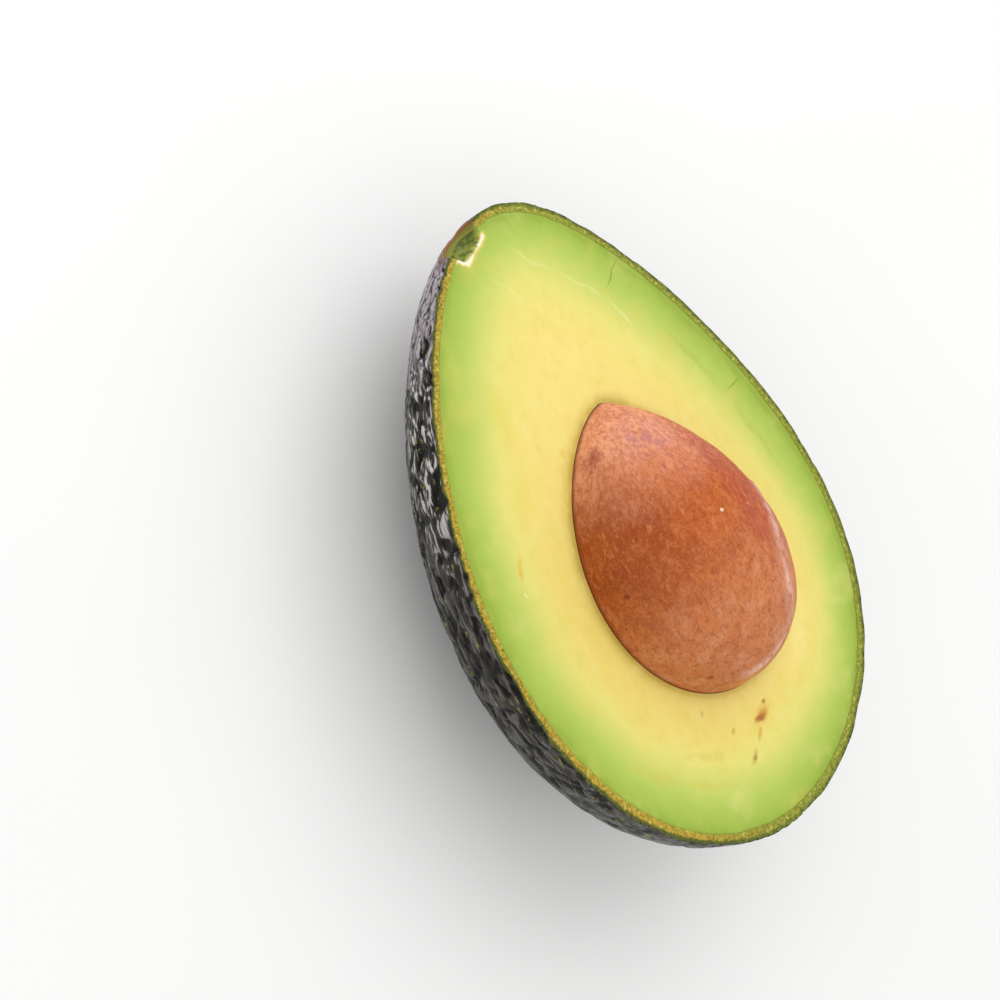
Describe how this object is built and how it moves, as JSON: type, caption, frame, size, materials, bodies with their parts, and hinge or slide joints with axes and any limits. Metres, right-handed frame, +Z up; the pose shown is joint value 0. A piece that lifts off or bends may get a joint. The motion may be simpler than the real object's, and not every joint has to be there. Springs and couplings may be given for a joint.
{
  "type": "halved avocado",
  "caption": "Half of an avocado cut lengthwise, lying cut face up, with leathery skin, pale flesh and the whole pit sitting in its hollow.",
  "frame": {"origin": "on the surface that the half rests on, under the middle of its footprint box", "axes": "+X along the fruit from the stem end to the blossom end, +Z up, out of the cut face"},
  "size_m": [0.0996, 0.068, 0.0452],
  "materials": {
    "skin": "satin",
    "flesh": "satin",
    "pit": "matte"
  },
  "bodies": {
    "root": {"skin": "skin", "flesh": "flesh", "pit": "pit"}
  },
  "joints": []
}
